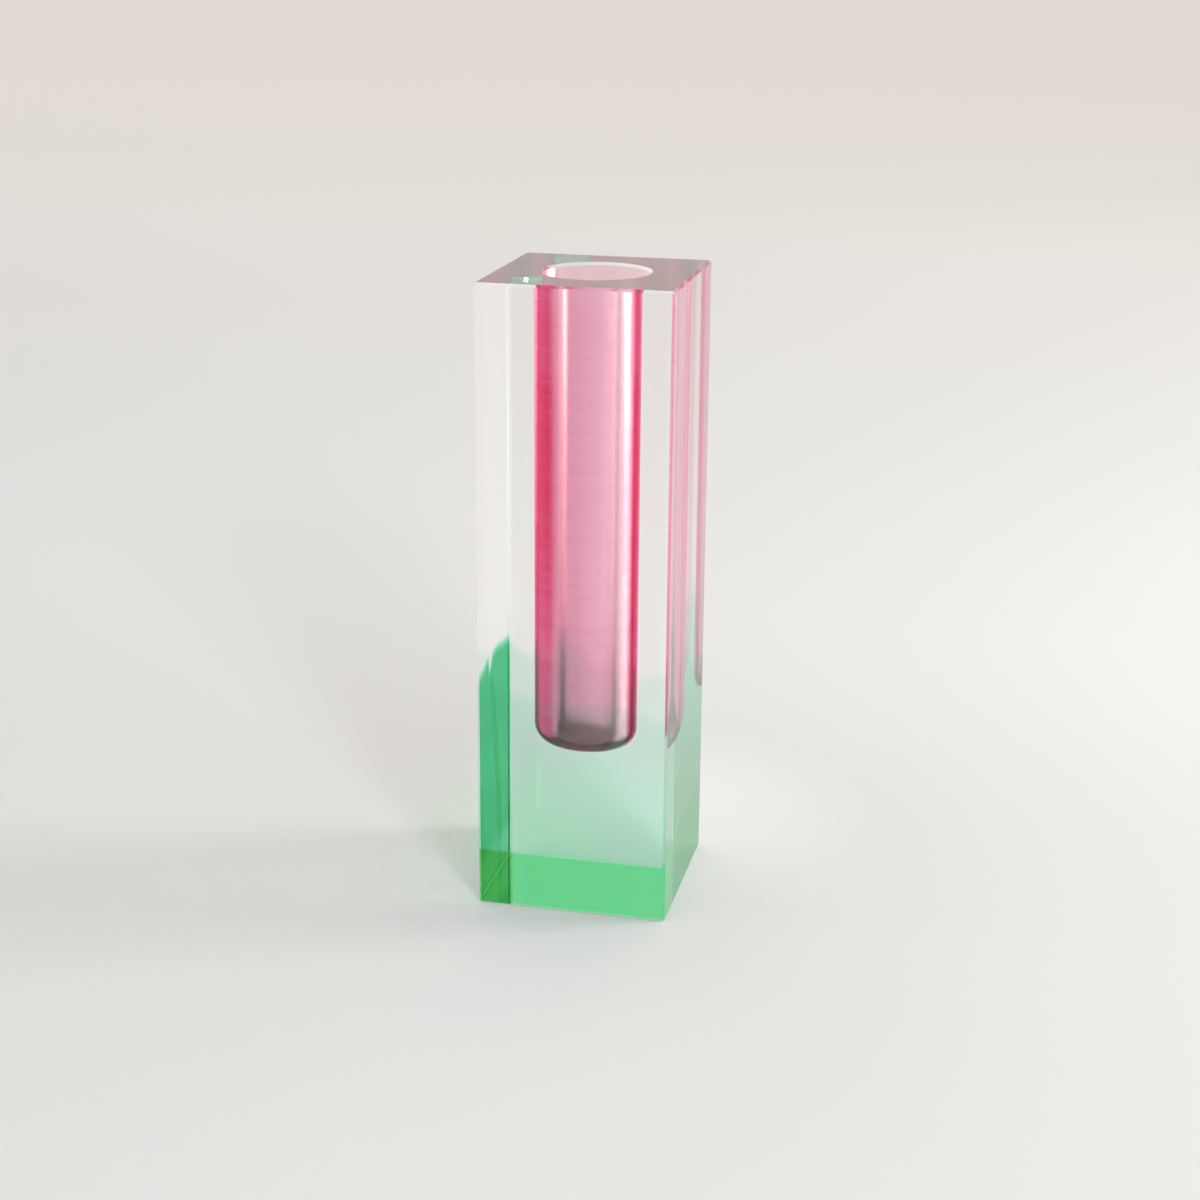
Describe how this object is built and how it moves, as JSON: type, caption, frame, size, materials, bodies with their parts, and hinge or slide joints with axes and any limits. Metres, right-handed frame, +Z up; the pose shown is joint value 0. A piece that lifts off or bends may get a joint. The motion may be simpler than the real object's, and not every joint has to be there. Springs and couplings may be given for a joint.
{
  "type": "prism vase",
  "caption": "Tall square block vase in clear acrylic with a blind round bore for stems, pink dyed inside the bore and green dyed round its foot.",
  "frame": {"origin": "middle of the foot, on the surface that the vase stands on", "axes": "+Z up along the bore, front of the vase towards -Y, +X to the right"},
  "size_m": [0.05, 0.05, 0.165],
  "materials": {
    "clear_acrylic": "polished",
    "pink_dyed_film": "satin",
    "green_dyed_acrylic": "polished"
  },
  "bodies": {
    "root": {"clear_acrylic_block": "clear_acrylic", "pink_bore_lining": "pink_dyed_film", "green_foot_skin": "green_dyed_acrylic"}
  },
  "joints": []
}
